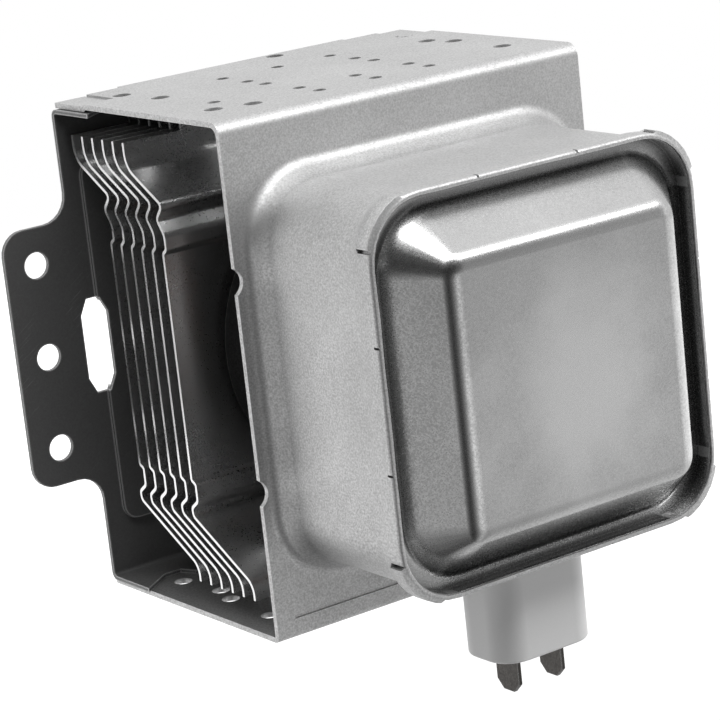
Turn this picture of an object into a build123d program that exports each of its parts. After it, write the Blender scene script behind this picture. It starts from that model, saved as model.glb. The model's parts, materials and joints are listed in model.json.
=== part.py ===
"""Microwave-oven magnetron: a folded steel yoke drawn out into its filter case, a mounting plate with
slotted ears, six bent cooling fins on a copper anode between two ring magnets, the vacuum tube inside
them, and the choke filter with its feed-through capacitor.

Millimetres. X runs across the yoke, from one open side to the other, Y along the tube axis towards the
antenna, and Z up. The origin is on the tube axis, in the rear face of the mounting plate.
"""

import os
from math import atan, cos, degrees, sin, sqrt

from build123d import *

# Yoke and filter case, one sheet
yoke_width = 80.0
yoke_height = 94.0
yoke_depth = 55.0
yoke_sheet = 1.0
least_bend_radius = 0.3
top_bend_radius = 2.5
bottom_bend_radius = 1.2
case_width = 70.0
case_height = 69.6
case_corner_radius = 11.0
case_root_radius = 4.5
case_depth = 34.2
rim_step = 0.6
rim_strip_step = 1.0
rim_band_depth = 3.2
rim_hem_reach = 2.4
rim_hem_depth = 1.8
rim_bead_radius = 0.8
rim_flare_depth = 1.1
rim_slit_width = 0.6
rim_slit_depth = 3.8
rim_side_slit_z = 27.0
rim_end_slit_x = 27.6
rim_nick_offset = 11.0
rim_nick_depth = 1.4
edge_notch_radius = 2.65
edge_notch_offset = 1.25
edge_notch_pitch = 38.2
groove_width = 0.7
groove_depth = 0.25
groove_height = 4.0
groove_end_gap = 4.0

# Vent holes in the top and bottom plates, as (x, y)
small_hole_diameter = 2.5
large_hole_diameter = 3.5
vent_column_x = (-12.0, 0.4, 12.6)
vent_row_y = (-14.7, -39.6, -45.8)
vent_middle_row_y = (-22.8, -28.8)
left_large_holes = ((-31.0, -9.7), (-29.3, -20.2), (-32.2, -42.1), (-25.5, -44.6))
right_large_holes = ((33.5, -10.5), (31.1, -21.0), (33.0, -27.0), (32.4, -42.5))
left_small_hole = (-27.9, -35.7)
rear_edge_hole = (8.2, -2.6)
bottom_holes = ((33.0, -12.9), (31.4, -23.5), (33.0, -29.2), (33.6, -43.0))

# Top plate's rear edge and its joggled corner tabs
lip_half_width = 26.0
shoulder_setback = 1.2
tab_width = 6.5
tab_length = 11.0
tab_setback = 0.5
tab_joggle = 0.4

# Mounting plate
plate_sheet = 0.8
plate_width = 81.5
plate_bend_radius = 1.5
ear_span = 110.2
ear_height = 49.4
ear_corner_radius = 4.5
ear_root_radius = 5.0
ear_hole_diameter = 5.0
ear_hole_span = 97.0
ear_hole_pitch = 17.6
slot_width = 5.4
slot_height = 18.2
slot_tip_width = 2.4
slot_shoulder = 3.0
slot_span = 75.7
pad_width = 74.0
pad_height = 70.0
pad_corner_radius = 3.0
pad_rise = 0.8
flange_corner_length = 13.0
flange_neck_length = 8.2
flange_middle_length = 11.3
flange_corner_x = 34.0
flange_neck_x = 30.5
flange_middle_x = 29.0
flange_gap = 0.1

# Cooling fins: bend points as (shift towards the antenna, height) about the middle of the sheet
fin_count = 6
fin_pitch = 3.56
fin_sheet = 0.6
fin_width = 77.0
fin_end_gap = 1.6
fin_tab_width = 52.0
fin_shoulder_top = 40.4
fin_shoulder_bottom = -41.2
fin_upper_bends = ((9.2, 36.0), (-1.5, 29.9), (0.8, 27.2), (-1.1, 24.4), (-1.1, 21.8), (0.0, 20.9))
fin_lower_bends = ((0.0, -21.5), (-1.2, -22.1), (-1.2, -25.4), (1.0, -27.0), (0.8, -28.6), (-16.6, -38.2))
fin_upper_radii = (4.0, 1.0, 1.0, 2.0, 0.6, 0.6)
fin_lower_radii = (0.5, 0.5, 1.0, 0.9, 1.2, 3.0)
fin_bore_clearance = 0.03

# Magnets and the plate that carries their flux behind the filter case
magnet_diameter = 58.0
magnet_bore = 21.0
magnet_thickness = 8.0
flux_plate_sheet = 1.5
flux_plate_width = 58.0
flux_plate_height = 61.0
flux_foot_low = 39.8
flux_foot_top = 44.3
flux_plate_bend_radius = 2.0

# Anode block and the tube's two ends
anode_length = 20.6
anode_diameter = 39.0
anode_wall = 2.0
vane_count = 10
vane_thickness = 1.9
vane_height = 9.5
cavity_radius = 4.6
strap_groove_depth = 1.2
strap_inner_radius = 5.6
strap_width = 1.0
strap_gap = 0.5
pole_gap = 12.0
pole_sheet = 1.6
pole_bore = 9.4
pole_tip_radius = 7.5
pole_cone_radius = 12.0
shell_wall = 0.6
shell_diameter = 19.0
output_shell_reach = 3.0
input_shell_reach = 16.0

# Antenna end
output_ceramic_diameter = 18.0
output_ceramic_wall = 2.6
output_ceramic_length = 6.5
cap_diameter = 14.8
cap_wall = 0.5
cap_length = 11.5
cap_corner_radius = 2.0
exhaust_diameter = 6.4
exhaust_wall = 0.9
exhaust_length = 9.0
antenna_sheet = 0.8
antenna_width = 1.8
antenna_vane_radius = 8.9
antenna_hole_diameter = 2.5
antenna_bend_depth = 1.5
gasket_diameter = 33.0
gasket_height = 3.8
gasket_chamfer = 1.0
gasket_ring_wall = 0.8

# Cathode and the input stem
filament_radius = 2.0
filament_wire = 0.6
filament_turns = 4
hat_radius = 3.6
hat_thickness = 1.0
hat_bore_clearance = 0.5
lead_diameter = 1.4
side_lead_offset = 3.6
stem_ceramic_diameter = 17.0
stem_ceramic_length = 10.0
stem_collar_length = 1.5
stem_terminal_diameter = 3.0
stem_terminal_length = 4.0

# Choke filter and feed-through capacitor
choke_offset_x = 21.0
choke_setback = 17.0
choke_core_diameter = 5.0
choke_core_length = 26.0
choke_wire = 1.6
choke_turns = 9
choke_centre_z = 6.0
capacitor_setback = 20.0
capacitor_width = 21.5
capacitor_depth = 14.5
capacitor_corner_radius = 5.2
capacitor_bottom = -54.2
capacitor_inner_reach = 6.0
capacitor_plate_width = 34.0
capacitor_plate_depth = 22.0
capacitor_plate_sheet = 1.0
capacitor_plate_radius = 3.0
blade_width = 6.3
blade_sheet = 0.8
blade_pitch = 10.0
blade_reach = 7.4
blade_inner_reach = 5.0
blade_chamfer = 1.6
rivet_diameter = 2.6
rivet_head_diameter = 4.2
rivet_head_height = 0.8
rivet_span = 27.5

# Lid of the filter case
lid_sheet = 0.8
lid_edge_clearance = 0.2
lid_margin = 4.8
lid_corner_radius = 9.0
lid_slope_run = 6.1
lid_rise = 8.6
lid_ridge_radius = 2.0
lid_root_radius = 2.6

# Largest share of the flat beside it that a fillet may take
fillet_share = 0.9

# Stations that follow from the sizes above
front_y = -yoke_depth
top_inside = yoke_height / 2 - yoke_sheet
pad_front_y = -plate_sheet - pad_rise
output_flange_y = pad_front_y - magnet_thickness
anode_rear_y = output_flange_y - shell_wall
anode_front_y = anode_rear_y - anode_length
anode_middle_y = (anode_rear_y + anode_front_y) / 2
input_flange_y = anode_front_y - shell_wall
flux_plate_y = input_flange_y - magnet_thickness
shell_end_y = input_flange_y - input_shell_reach
stem_end_y = shell_end_y - stem_ceramic_length
rim_front_y = front_y - case_depth
rim_band_y = rim_front_y + rim_band_depth
ledge_y = rim_front_y + rim_hem_depth + lid_sheet
case_floor = -case_height / 2
capacitor_y = front_y - capacitor_setback
choke_y = front_y - choke_setback
fin_first_y = anode_rear_y - fin_end_gap
lid_base_width = case_width - 2 * lid_margin
lid_base_height = case_height - 2 * lid_margin
root_flat = min(yoke_width - case_width, yoke_height - case_height - 2 * top_bend_radius) / 2
root_radius = min(case_root_radius, fillet_share * root_flat)
anode_bore_radius = anode_diameter / 2 - anode_wall
shell_radius = shell_diameter / 2
plate_bore_radius = magnet_bore / 2
capacitor_top_z = case_floor + yoke_sheet + capacitor_inner_reach
blade_top_z = capacitor_top_z + blade_inner_reach


def prism(width, height, radius, rear_y, near_y):
    """Block with rounded corners along Y, from rear_y forward to near_y."""
    outline = Plane.XZ.offset(-rear_y) * RectangleRounded(width, height, radius)
    return extrude(outline, amount=rear_y - near_y)


def span(low, high):
    """Plain block between two corners."""
    size = [b - a for a, b in zip(low, high)]
    middle = [(a + b) / 2 for a, b in zip(low, high)]
    return Pos(*middle) * Box(*size)


def turned(*points):
    """Solid turned about the tube axis from (radius, y) points."""
    return revolve(make_face(Polyline(*points, close=True)), Axis.Y)


def tube(outer_radius, inner_radius, rear_y, near_y):
    """Plain ring about the tube axis."""
    return turned((inner_radius, rear_y), (outer_radius, rear_y),
                  (outer_radius, near_y), (inner_radius, near_y))


def drill(radius, low, high, x=0.0, z=0.0):
    """Cylinder along Y, used to cut a hole."""
    return Pos(x, (low + high) / 2, z) * Rot(90, 0, 0) * Cylinder(radius, high - low)


def mirrored(shape):
    """The shape and its mirror image in the YZ plane."""
    return shape + mirror(shape, about=Plane.YZ)


def root_edges(solid, face_y, width, height):
    """Edges where the case leaves the yoke's front face."""
    edges = solid.edges().filter_by_position(Axis.Y, face_y - 0.01, face_y + 0.01)
    return [e for e in edges
            if abs(e.center().X) < width / 2 + 0.01 and abs(e.center().Z) < height / 2 + 0.01]


def yoke_block(inset, rear_y):
    """Yoke and case as one full block, inset by the sheet for the space inside."""
    half = yoke_height / 2 - inset
    near_y = front_y + inset
    bends = [max(radius - inset, least_bend_radius) for radius in (top_bend_radius, bottom_bend_radius)]
    corners = ((rear_y, half), (near_y, half), (near_y, -half), (rear_y, -half))
    side = make_face(Plane.YZ * FilletPolyline(*corners, radius=[0, *bends, 0], close=True))
    body = extrude(side, amount=yoke_width / 2 + inset, both=True)
    width = case_width - 2 * inset
    height = case_height - 2 * inset
    body += prism(width, height, case_corner_radius - inset, near_y, rim_front_y - inset)
    root = root_edges(body, near_y, width, height)
    if inset:
        return chamfer(root, (2 - sqrt(2)) * (root_radius + inset))
    return fillet(root, root_radius)


def rim_corners(width, height, depth):
    """Blocks that take in the four corner strips of the rim, between its slits."""
    corners = Part()
    for x_sign in (-1, 1):
        for z_sign in (-1, 1):
            near = (x_sign * rim_end_slit_x, z_sign * rim_side_slit_z)
            far = (x_sign * width / 2, z_sign * height / 2)
            low_x, high_x = sorted((near[0], far[0]))
            low_z, high_z = sorted((near[1], far[1]))
            corners += span((low_x, rim_front_y - 1, low_z), (high_x, rim_front_y + depth, high_z))
    return corners


def rim_slits(width, height):
    """Cutters for the slits beside each corner strip and the nicks along the sides."""
    half = rim_slit_width / 2
    front = rim_front_y - 1
    slits = Part()
    for place, depth in ((rim_side_slit_z, rim_slit_depth), (rim_nick_offset, rim_nick_depth)):
        for z in (-place, place):
            for edge in (-width / 2, width / 2):
                slits += span((edge - yoke_sheet, front, z - half),
                              (edge + yoke_sheet, rim_front_y + depth, z + half))
    for place, depth in ((rim_end_slit_x, rim_slit_depth), (rim_nick_offset, rim_nick_depth)):
        for x in (-place, place):
            for edge in (-height / 2, height / 2):
                slits += span((x - half, front, edge - yoke_sheet),
                              (x + half, rim_front_y + depth, edge + yoke_sheet))
    return slits


def rim_band():
    """Widened rim: its sides fold in over the lid, and its corner strips stand unfolded."""
    width = case_width + 2 * rim_step
    height = case_height + 2 * rim_step
    radius = case_corner_radius
    band = prism(width, height, radius, rim_band_y, rim_front_y)
    band = fillet(band.faces().sort_by(Axis.Y)[0].edges(), rim_bead_radius)
    seat = 2 * yoke_sheet
    inner_radius = radius - yoke_sheet
    band -= prism(width - seat, height - seat, inner_radius, ledge_y, rim_front_y + rim_hem_depth)
    opening = 2 * rim_hem_reach
    hem_radius = radius - rim_hem_reach
    mouth = prism(width - opening, height - opening, hem_radius, rim_front_y + rim_hem_depth, rim_front_y - 1)
    flare_run = rim_hem_reach - rim_bead_radius
    flare = Plane.XZ.offset(-rim_front_y) * RectangleRounded(
        width - opening + 2 * flare_run, height - opening + 2 * flare_run, hem_radius + flare_run)
    flare = extrude(flare, amount=-rim_flare_depth, taper=degrees(atan(flare_run / rim_flare_depth)))
    neck = prism(case_width - seat, case_height - seat, inner_radius, rim_band_y + 1, ledge_y - lid_sheet / 2)
    band = band - mouth - flare - neck

    strip_width = case_width + 2 * rim_strip_step
    strip_height = case_height + 2 * rim_strip_step
    strips = prism(strip_width, strip_height, radius, rim_band_y, rim_front_y)
    strips -= prism(strip_width - seat, strip_height - seat, inner_radius, ledge_y, rim_front_y - 1)
    strips -= prism(case_width - seat, case_height - seat, inner_radius, rim_band_y + 1, ledge_y - lid_sheet / 2)
    corners = rim_corners(strip_width, strip_height, rim_band_depth)
    return band - corners + (strips & corners) - rim_slits(strip_width, strip_height)


def vent_holes():
    """Cutters for the holes through the top plate and the bottom plate."""
    small = small_hole_diameter / 2
    large = large_hole_diameter / 2
    through = 4 * yoke_sheet
    holes = Part()
    for x in vent_column_x:
        rows = vent_row_y if x == vent_column_x[1] else vent_row_y + vent_middle_row_y
        for y in rows:
            holes += Pos(x, y, top_inside) * Cylinder(small, through)
    holes += Pos(*left_small_hole, top_inside) * Cylinder(small, through)
    for x, y in left_large_holes + right_large_holes + (rear_edge_hole,):
        holes += Pos(x, y, top_inside) * Cylinder(large, through)
    for x, y in bottom_holes:
        for side in (-1, 1):
            holes += Pos(side * x, y, -top_inside) * Cylinder(large, through)
    return holes


def make_yoke_filter_case():
    """Top plate, front face, bottom plate and filter case, pressed from one sheet."""
    overhang = 10 * yoke_sheet
    body = yoke_block(0, overhang) - yoke_block(yoke_sheet, 2 * overhang)
    body -= span((-yoke_width, 0, -yoke_height), (yoke_width, 3 * overhang, yoke_height))
    body -= prism(case_width - 2 * yoke_sheet, case_height - 2 * yoke_sheet, case_corner_radius - yoke_sheet,
                  rim_band_y, rim_front_y - overhang)
    body -= span((-case_width, rim_front_y - overhang, -case_height), (case_width, rim_band_y, case_height))
    body += rim_band()

    top = yoke_height / 2
    half = yoke_width / 2
    shoulder = span((lip_half_width, -shoulder_setback, 0), (2 * half, overhang, 2 * top))
    tab_room = span((half - tab_width, -tab_length, 0), (2 * half, overhang, 2 * top))
    tab_low = top - yoke_sheet - tab_joggle
    tab = span((half - tab_width, -tab_length, tab_low), (half, -tab_setback, tab_low + yoke_sheet))
    body = body - mirrored(shoulder) - mirrored(tab_room) + mirrored(tab)

    for side in (-1, 1):
        for level in (-1, 1):
            notch_x = side * (half + edge_notch_offset)
            body -= drill(edge_notch_radius, front_y - 1, front_y + 2 * yoke_sheet,
                          notch_x, level * edge_notch_pitch / 2)
    groove_z = -top + groove_height
    body -= span((-half + groove_end_gap, front_y - 1, groove_z - groove_width / 2),
                 (half - groove_end_gap, front_y + groove_depth, groove_z + groove_width / 2))
    body -= vent_holes()
    body -= Pos(0, capacitor_y, case_floor) * capacitor_section(4 * yoke_sheet)
    for x, y in rivet_places():
        body -= Pos(x, y, case_floor) * Cylinder(rivet_diameter / 2, 4 * yoke_sheet)
    return body


def plate_flange(z_low, middle):
    """Flange turned forward from the mounting plate; the bottom one also has a middle tongue."""
    edge = plate_width / 2
    outline = [(-edge, 0), (-edge, -flange_corner_length), (-flange_corner_x, -flange_neck_length)]
    if middle:
        outline += [(-flange_neck_x, -flange_neck_length), (-flange_middle_x, -flange_middle_length)]
        outline += [(0, -flange_middle_length), (0, 0)]
    else:
        outline += [(-flange_corner_x, 0)]
    sheet = extrude(Pos(0, 0, z_low) * make_face(Polyline(*outline, close=True)), amount=plate_sheet)
    return mirrored(sheet)


def make_mounting_plate():
    """Flat plate with two ears, a raised pad, and flanges clinched inside the yoke."""
    low = -top_inside
    high = top_inside - tab_joggle - flange_gap
    body_face = Plane.XZ * Pos(0, (low + high) / 2) * Rectangle(plate_width, high - low)
    ears = Plane.XZ * RectangleRounded(ear_span, ear_height, ear_corner_radius)
    outline = body_face + ears
    inner_corners = [v for v in outline.vertices()
                     if abs(abs(v.X) - plate_width / 2) < 0.01 and abs(abs(v.Z) - ear_height / 2) < 0.01]
    ear_flat = (ear_span - plate_width) / 2 - ear_corner_radius
    outline = fillet(inner_corners, min(ear_root_radius, fillet_share * ear_flat))
    body = extrude(outline, amount=plate_sheet)
    lip = span((-lip_half_width, -plate_sheet, high - 1), (lip_half_width, 0, top_inside))
    body += lip + plate_flange(low, True) + plate_flange(high - plate_sheet, False)
    rear = body.edges().filter_by(Axis.X).filter_by_position(Axis.Y, -0.01, 0.01)
    bottom = rear.filter_by_position(Axis.Z, low - 0.01, low + 0.01)
    corners = [e for e in rear.filter_by_position(Axis.Z, high - 0.01, high + 0.01)
               if abs(e.center().X) > flange_corner_x]
    body = fillet([*bottom, *corners], plate_bend_radius)
    body += prism(pad_width, pad_height, pad_corner_radius, -plate_sheet, -plate_sheet - pad_rise)
    inset = 2 * plate_sheet
    body -= prism(pad_width - inset, pad_height - inset, pad_corner_radius - plate_sheet, 0, -pad_rise)

    for side in (-1, 1):
        tip = slot_tip_width / 2
        flank = slot_width / 2
        end = slot_height / 2
        points = [(flank, end - slot_shoulder), (tip, end), (-tip, end), (-flank, end - slot_shoulder)]
        points += [(x, -z) for x, z in reversed(points)]
        slot = Plane.XZ.offset(-1) * Pos(side * slot_span / 2, 0) * make_face(Polyline(*points, close=True))
        body -= extrude(slot, amount=4 * plate_sheet)
        for row in (-1, 0, 1):
            body -= drill(ear_hole_diameter / 2, -2 * plate_sheet, 1,
                          side * ear_hole_span / 2, row * ear_hole_pitch)
    return body - drill(plate_bore_radius, pad_front_y - 1, 1)


def make_cooling_fin(index):
    """Bent aluminium sheet pressed over the anode."""
    middle_y = fin_first_y - index * fin_pitch
    bends = [(fin_upper_bends[0][0], top_inside), *fin_upper_bends,
             *fin_lower_bends, (fin_lower_bends[-1][0], -top_inside)]
    path = FilletPolyline(*bends, radius=[*fin_upper_radii, *fin_lower_radii])
    profile = Plane.YZ * Pos(middle_y, 0) * trace(path, fin_sheet)
    sheet = extrude(profile, amount=fin_width / 2, both=True)
    corner = span((fin_tab_width / 2, -yoke_depth, fin_shoulder_top), (fin_width, yoke_depth, yoke_height))
    foot = span((fin_tab_width / 2, -yoke_depth, -yoke_height), (fin_width, yoke_depth, fin_shoulder_bottom))
    hole = drill(anode_diameter / 2 + fin_bore_clearance, middle_y - fin_sheet, middle_y + fin_sheet)
    return sheet - mirrored(corner) - mirrored(foot) - hole


def make_magnet(rear_y):
    """Ferrite ring."""
    return tube(magnet_diameter / 2, magnet_bore / 2, rear_y, rear_y - magnet_thickness)


def make_flux_plate():
    """Pressed hat of steel that carries the front magnet's flux to the yoke's front face."""
    half = flux_plate_height / 2
    foot_y = front_y + yoke_sheet + flux_plate_sheet / 2
    seat_y = flux_plate_y - flux_plate_sheet / 2
    bends = [(foot_y, flux_foot_top), (foot_y, flux_foot_low), (seat_y, half)]
    bends += [(y, -z) for y, z in reversed(bends)]
    path = FilletPolyline(*bends, radius=flux_plate_bend_radius)
    body = extrude(Plane.YZ * trace(path, flux_plate_sheet), amount=flux_plate_width / 2, both=True)
    return body - drill(plate_bore_radius, seat_y - flux_plate_sheet, flux_plate_y + 1)


def make_anode_cylinder():
    """Copper tube, counterbored at each end for a pole piece."""
    return tube(anode_diameter / 2, anode_bore_radius, anode_rear_y, anode_front_y)


def make_anode_vanes():
    """Ten radial copper vanes, grooved for the strap rings."""
    vanes = Part()
    outer = anode_bore_radius
    strap_end = strap_inner_radius + strap_width + strap_gap
    for index in range(vane_count):
        blade = span((cavity_radius / 2, anode_middle_y - vane_height / 2, -vane_thickness / 2),
                     (anode_diameter / 2, anode_middle_y + vane_height / 2, vane_thickness / 2))
        for face in (-1, 1):
            edge = anode_middle_y + face * vane_height / 2
            floor = edge - face * strap_groove_depth
            blade -= span((strap_inner_radius - strap_gap, min(edge, floor), -vane_thickness),
                          (strap_end, max(edge, floor), vane_thickness))
        vanes += Rot(0, index * 360 / vane_count, 0) * blade
    return vanes & tube(outer, cavity_radius, anode_rear_y, anode_front_y)


def make_strap_rings():
    """Two rings that tie alternate vanes, one at each end."""
    rings = []
    for face in (-1, 1):
        edge = anode_middle_y + face * vane_height / 2
        floor = edge - face * strap_groove_depth
        rings.append(tube(strap_inner_radius + strap_width, strap_inner_radius, max(edge, floor), min(edge, floor)))
    return Compound(children=rings)


def make_pole_piece(end_y, inward):
    """Iron funnel set in the end of the anode; inward is -1 at the antenna end."""
    tip_y = anode_middle_y - inward * pole_gap / 2
    seat = end_y + inward * pole_sheet
    back = tip_y - inward * pole_sheet
    return turned((anode_bore_radius, end_y), (anode_bore_radius, seat), (pole_cone_radius, seat),
                  (pole_tip_radius, tip_y), (pole_bore / 2, tip_y), (pole_bore / 2, back),
                  (pole_tip_radius - pole_sheet / 2, back), (pole_cone_radius - pole_sheet / 2, end_y))


def make_output_pole_piece():
    """Pole piece at the antenna end, with a hole for the antenna wire."""
    hole = drill(antenna_hole_diameter / 2, anode_middle_y, pad_front_y, 0, antenna_vane_radius)
    return make_pole_piece(anode_rear_y, -1) - hole


def make_shell(flange_y, outward, reach):
    """Thin iron can that closes the anode and passes through a magnet."""
    inner_y = flange_y - outward * shell_wall
    end_y = flange_y + outward * reach
    return turned((anode_diameter / 2, inner_y), (anode_diameter / 2, flange_y), (shell_radius, flange_y),
                  (shell_radius, end_y), (shell_radius - shell_wall, end_y), (shell_radius - shell_wall, inner_y))


def make_output_ceramic():
    """Alumina ring between the output can and the antenna cap."""
    outer = output_ceramic_diameter / 2
    end = output_shell_reach + output_ceramic_length
    return tube(outer, outer - output_ceramic_wall, end, output_shell_reach)


def make_antenna_cap():
    """Pressed cup over the pinched-off exhaust tube."""
    base = output_shell_reach + output_ceramic_length
    end = base + cap_length
    outer = cap_diameter / 2
    step = cap_corner_radius * (1 - sqrt(0.5))
    shoulder = [(outer, end - cap_corner_radius), (outer - step, end - step), (outer - cap_corner_radius, end)]
    inner = outer - cap_wall
    return turned((outer, base), *shoulder, (0, end), (0, end - cap_wall),
                  (inner - cap_corner_radius, end - cap_wall), (inner, end - cap_corner_radius), (inner, base))


def make_exhaust_tube():
    """Copper tube on the output ceramic, closed at its far end."""
    base = output_shell_reach + output_ceramic_length
    end = base + exhaust_length
    outer = exhaust_diameter / 2
    flange = output_ceramic_diameter / 2 - output_ceramic_wall + exhaust_wall / 2
    return turned((outer - exhaust_wall, base), (flange, base), (flange, base + exhaust_wall / 2),
                  (outer, base + exhaust_wall / 2), (outer, end), (0, end),
                  (0, end - exhaust_wall), (outer - exhaust_wall, end - exhaust_wall))


def make_antenna_lead():
    """Flat copper strip from one vane, through the pole piece, to the exhaust tube."""
    start = anode_middle_y + vane_height / 2
    base = output_shell_reach + output_ceramic_length
    bend_y = anode_rear_y - antenna_bend_depth
    path = FilletPolyline((start, antenna_vane_radius), (bend_y, antenna_vane_radius),
                          (bend_y + antenna_vane_radius, 0), (base + exhaust_length / 2, 0), radius=antenna_sheet)
    return extrude(Plane.YZ * trace(path, antenna_sheet), amount=antenna_width / 2, both=True)


def make_rf_gasket():
    """Knitted wire ring that seals the tube to the waveguide."""
    outer = gasket_diameter / 2
    inner = shell_radius + gasket_ring_wall
    low = -pad_rise
    high = low + gasket_height
    return turned((inner, low), (outer, low), (outer, high - gasket_chamfer), (outer - gasket_chamfer, high),
                  (inner + gasket_chamfer, high), (inner, high - gasket_chamfer))


def make_gasket_ring():
    """Flanged collar that holds the gasket on the output can."""
    inner = shell_radius
    return tube(inner + gasket_ring_wall, inner, -pad_rise + gasket_height - gasket_ring_wall, -pad_rise)


def make_filament():
    """Thoriated tungsten coil, as a tube with a groove between its turns."""
    half = vane_height / 2
    pitch = vane_height / filament_turns
    depth = filament_wire / 2
    points = [(filament_radius - depth, anode_middle_y + half), (filament_radius - depth, anode_middle_y - half)]
    for turn in range(filament_turns):
        low = anode_middle_y - half + turn * pitch
        points += [(filament_radius, low), (filament_radius + depth, low + pitch / 2)]
    points.append((filament_radius, anode_middle_y + half))
    return turned(*points)


def make_end_hat(side):
    """Molybdenum disc at one end of the filament; side is 1 towards the antenna."""
    near = anode_middle_y + side * vane_height / 2
    far = near + side * hat_thickness
    hat = drill(hat_radius, min(near, far), max(near, far))
    return hat if side > 0 else hat - drill(lead_diameter / 2 + hat_bore_clearance, far - 1, near + 1)


def make_centre_lead():
    """Straight molybdenum rod up the middle of the filament to the antenna-side hat."""
    return drill(lead_diameter / 2, stem_end_y, anode_middle_y + vane_height / 2)


def make_side_lead():
    """Second rod, to the other hat, set off the axis."""
    top_y = anode_middle_y - vane_height / 2 - hat_thickness
    return drill(lead_diameter / 2, stem_end_y, top_y, 0, -side_lead_offset)


def make_stem_ceramic():
    """Alumina stem that carries both leads into the filter case."""
    outer = stem_ceramic_diameter / 2
    body = drill(outer, stem_end_y, shell_end_y)
    flange = drill(shell_radius, shell_end_y - stem_collar_length, shell_end_y)
    hole = lead_diameter / 2
    return body + flange - drill(hole, stem_end_y - 1, shell_end_y + 1) - drill(
        hole, stem_end_y - 1, shell_end_y + 1, 0, -side_lead_offset)


def make_stem_terminal(z):
    """Small pin brazed on the end of a lead, outside the stem."""
    return drill(stem_terminal_diameter / 2, stem_end_y - stem_terminal_length, stem_end_y, 0, z)


def make_choke_core(side):
    """Ferrite rod inside a choke."""
    rod = Cylinder(choke_core_diameter / 2, choke_core_length)
    return Pos(side * choke_offset_x, choke_y, choke_centre_z) * rod


def make_choke_coil(side):
    """Close-wound enamelled wire as one sleeve, with a tail to the stem and a tail to the capacitor."""
    inner = choke_core_diameter / 2
    radius = choke_wire / 2
    length = choke_turns * choke_wire
    coil = Cylinder(inner + choke_wire, length) - Cylinder(inner, length)
    coil = Pos(side * choke_offset_x, choke_y, choke_centre_z) * coil

    leave_x = side * (choke_offset_x - inner - radius)
    stem_z = 0.0 if side < 0 else -side_lead_offset
    stem_end = Vector(side * (stem_terminal_diameter / 2 + radius), stem_end_y - stem_terminal_length / 2, stem_z)
    blade_end = Vector(side * (blade_pitch / 2 + blade_sheet / 2 + radius), capacitor_y, blade_top_z - radius)
    tails = Part()
    for offset, end in ((length / 2 - radius, stem_end), (radius - length / 2, blade_end)):
        start = Vector(leave_x, choke_y, choke_centre_z + offset)
        tails += extrude(Plane(start, z_dir=end - start) * Circle(radius), amount=(end - start).length)
    return coil + tails


def capacitor_section(height):
    """Rounded block of the capacitor's section."""
    outline = RectangleRounded(capacitor_width, capacitor_depth, capacitor_corner_radius)
    return Pos(0, 0, -height / 2) * extrude(outline, amount=height)


def rivet_places():
    """The fixings of the capacitor's plate, one at each side."""
    return [(side * rivet_span / 2, capacitor_y) for side in (-1, 1)]


def make_terminal_blade(side):
    """Flat tab that passes right through the capacitor."""
    low = capacitor_bottom - blade_reach
    blade = span((-blade_sheet / 2, -blade_width / 2, low), (blade_sheet / 2, blade_width / 2, blade_top_z))
    corners = blade.edges().filter_by(Axis.X).group_by(Axis.Z)[0]
    blade = chamfer(corners, blade_chamfer)
    return Pos(side * blade_pitch / 2, capacitor_y, 0) * blade


def make_capacitor_body():
    """Ceramic block that both blades pass through."""
    height = capacitor_top_z - capacitor_bottom
    body = Pos(0, capacitor_y, capacitor_bottom + height / 2) * capacitor_section(height)
    return body - make_terminal_blade(-1) - make_terminal_blade(1)


def make_capacitor_plate():
    """Steel plate round the block, against the underside of the filter case."""
    low = case_floor - capacitor_plate_sheet
    outline = RectangleRounded(capacitor_plate_width, capacitor_plate_depth, capacitor_plate_radius)
    plate = Pos(0, capacitor_y, low) * extrude(outline, amount=capacitor_plate_sheet)
    plate -= Pos(0, capacitor_y, low) * capacitor_section(4 * capacitor_plate_sheet)
    for x, y in rivet_places():
        plate -= Pos(x, y, low) * Cylinder(rivet_diameter / 2, 4 * capacitor_plate_sheet)
    return plate


def make_capacitor_rivets():
    """Two rivets with a head on each side."""
    low = case_floor - capacitor_plate_sheet
    high = case_floor + yoke_sheet
    rivets = []
    for x, y in rivet_places():
        shank = Pos(0, 0, (low + high) / 2) * Cylinder(rivet_diameter / 2, high - low)
        lower = Pos(0, 0, low - rivet_head_height / 2) * Cylinder(rivet_head_diameter / 2, rivet_head_height)
        upper = Pos(0, 0, high + rivet_head_height / 2) * Cylinder(rivet_head_diameter / 2, rivet_head_height)
        rivets.append(Pos(x, y, 0) * (shank + lower + upper))
    return Compound(children=rivets)


def lid_block(inset):
    """Lid as a full block, inset by the sheet for the space behind it."""
    base_y = ledge_y - lid_sheet + inset
    slope = atan(lid_slope_run / lid_rise)
    shrink = 2 * inset * (1 - sin(slope)) / cos(slope)
    seat = 2 * (rim_step - yoke_sheet - lid_edge_clearance) + 4 * inset
    slab = prism(case_width + seat, case_height + seat, case_corner_radius - yoke_sheet, ledge_y + inset, base_y)
    base = Plane.XZ.offset(-base_y) * RectangleRounded(
        lid_base_width - shrink, lid_base_height - shrink, lid_corner_radius - shrink / 2)
    raised = extrude(base, amount=lid_rise, taper=degrees(slope))
    ridge = raised.faces().sort_by(Axis.Y)[0].edges()
    if inset:
        return slab + chamfer(ridge, lid_sheet / 2)
    body = slab + fillet(ridge, lid_ridge_radius)
    return fillet(root_edges(body, base_y, lid_base_width, lid_base_height), lid_root_radius)


def make_filter_lid():
    """Pressed lid with a raised centre, held under the folded rim."""
    return lid_block(0) - lid_block(lid_sheet)


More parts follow.
